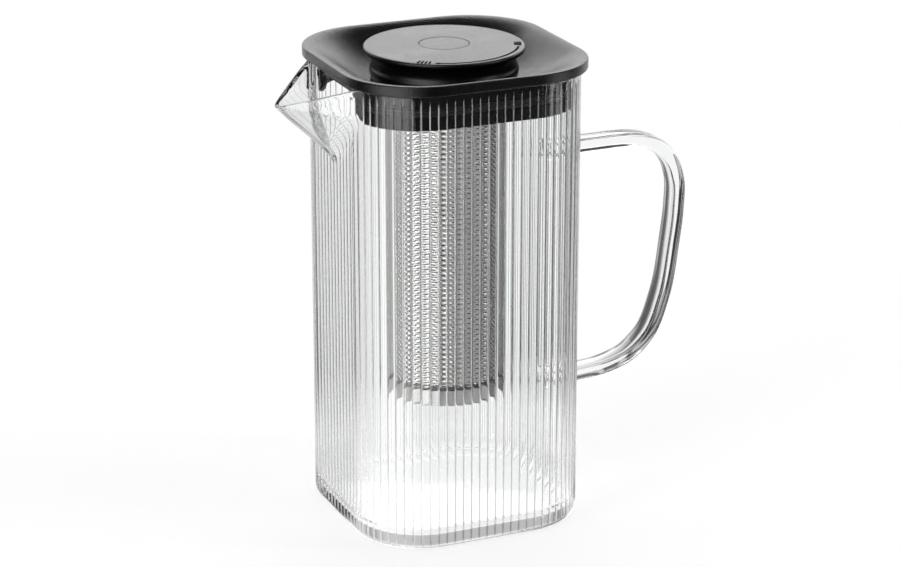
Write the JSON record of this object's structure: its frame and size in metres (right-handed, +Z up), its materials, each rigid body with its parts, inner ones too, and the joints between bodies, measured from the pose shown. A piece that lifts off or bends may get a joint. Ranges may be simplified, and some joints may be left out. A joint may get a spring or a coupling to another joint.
{
  "type": "infuser jug",
  "caption": "Square ribbed glass jug with a pouring spout and loop handle, a lift-off plug lid with a dished top, and a strainer tube locked to a turning knob.",
  "frame": {"origin": "centre of the foot, on the surface the jug stands on", "axes": "+Z up along the infuser, +X toward the handle, -X toward the spout, -Y and +Y the two plain sides"},
  "size_m": [0.1864, 0.1056, 0.2036],
  "materials": {
    "clear_glass": "clear, ribbed outside",
    "lid_plastic": "black, fine-grained matte",
    "plug_plastic": "black, glossy",
    "silicone": "soft, satin",
    "steel": "stainless, bright"
  },
  "bodies": {
    "jug": {"glass_body": "clear_glass", "glass_handle": "clear_glass"},
    "lid": {"lid_plate": "lid_plastic", "lid_insert": "plug_plastic", "lid_gasket": "silicone"},
    "infuser": {"infuser_base": "steel", "infuser_tube": "steel", "infuser_collar": "plug_plastic"},
    "cap": {"knob_body": "lid_plastic", "knob_cover": "lid_plastic", "centre_cap": "lid_plastic", "cap_spigot": "plug_plastic", "cap_seal": "silicone", "cap_washer": "steel", "cap_screw": "steel"}
  },
  "joints": [
    {"name": "lid_lift", "type": "slide", "parent": "jug", "child": "lid", "axis": [0, 0, 1], "range_m": [0, 0.16]},
    {"name": "infuser_lift", "type": "slide", "parent": "lid", "child": "infuser", "axis": [0, 0, 1], "range_m": [0, 0.15]},
    {"name": "cap_turn", "type": "hinge", "parent": "infuser", "child": "cap", "pos_m": [0, 0, 0.189], "axis": [0, 0, 1], "range_deg": [0, 90]}
  ]
}
